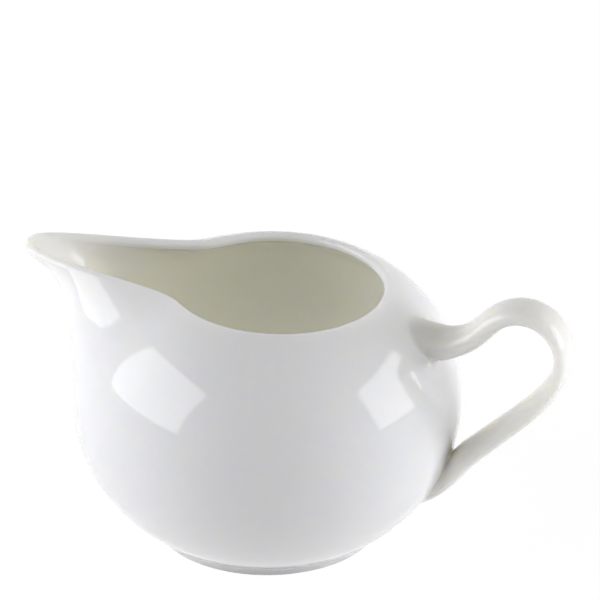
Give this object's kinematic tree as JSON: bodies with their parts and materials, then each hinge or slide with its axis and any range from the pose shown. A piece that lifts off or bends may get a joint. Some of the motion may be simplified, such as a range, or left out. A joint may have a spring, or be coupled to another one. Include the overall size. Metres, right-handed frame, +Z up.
{
  "type": "milk jug",
  "caption": "Small round-bellied white bone-china milk jug with a long pulled spout, a low foot ring and a looped strap handle; stands upright, empty.",
  "frame": {"origin": "on the table, at the centre of the foot ring", "axes": "+Z up, +X towards the handle, spout along -X"},
  "size_m": [0.1376, 0.095, 0.0697],
  "materials": {
    "glazed_china": "clear gloss glaze on white bone china"
  },
  "bodies": {
    "root": {"jug": "glazed_china"}
  },
  "joints": []
}
